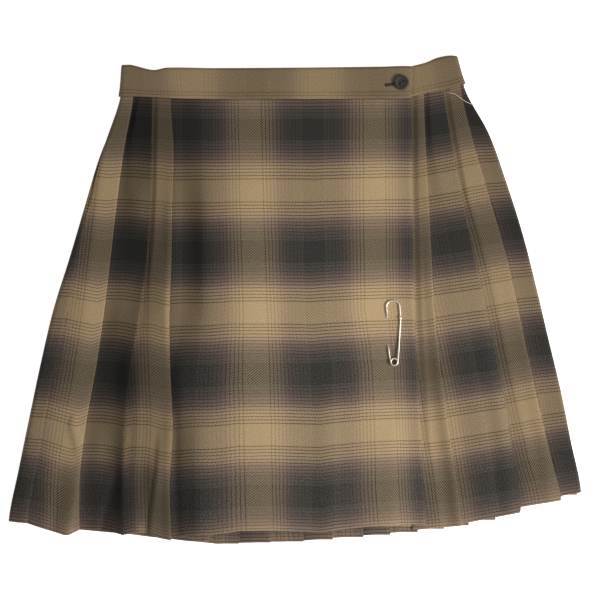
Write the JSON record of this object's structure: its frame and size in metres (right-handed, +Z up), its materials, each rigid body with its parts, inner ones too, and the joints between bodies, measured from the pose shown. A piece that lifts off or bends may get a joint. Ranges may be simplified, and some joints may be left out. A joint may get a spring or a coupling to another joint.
{
  "type": "plaid skirt",
  "caption": "Knife-pleated plaid wrap skirt laid flat, front up: plain over-apron closing to the right with a button, a wire pin through it, pleats at the sides and all round the back.",
  "frame": {"origin": "centre of the laid skirt's box, on the surface that it lies on", "axes": "+X to the viewer's right along the hem, +Y from hem to waist, +Z up from the surface"},
  "size_m": [0.616, 0.524, 0.013],
  "materials": {
    "plaid_cloth": "woven twill, soft and matt, brushed",
    "button_plastic": "dished button, satin",
    "pin_wire": "polished wire"
  },
  "bodies": {
    "root": {"over_apron": "plaid_cloth", "under_apron": "plaid_cloth", "left_pleats": "plaid_cloth", "right_pleats": "plaid_cloth", "back_pleats": "plaid_cloth", "waistband": "plaid_cloth", "button": "button_plastic", "kilt_pin": "pin_wire"}
  },
  "joints": []
}
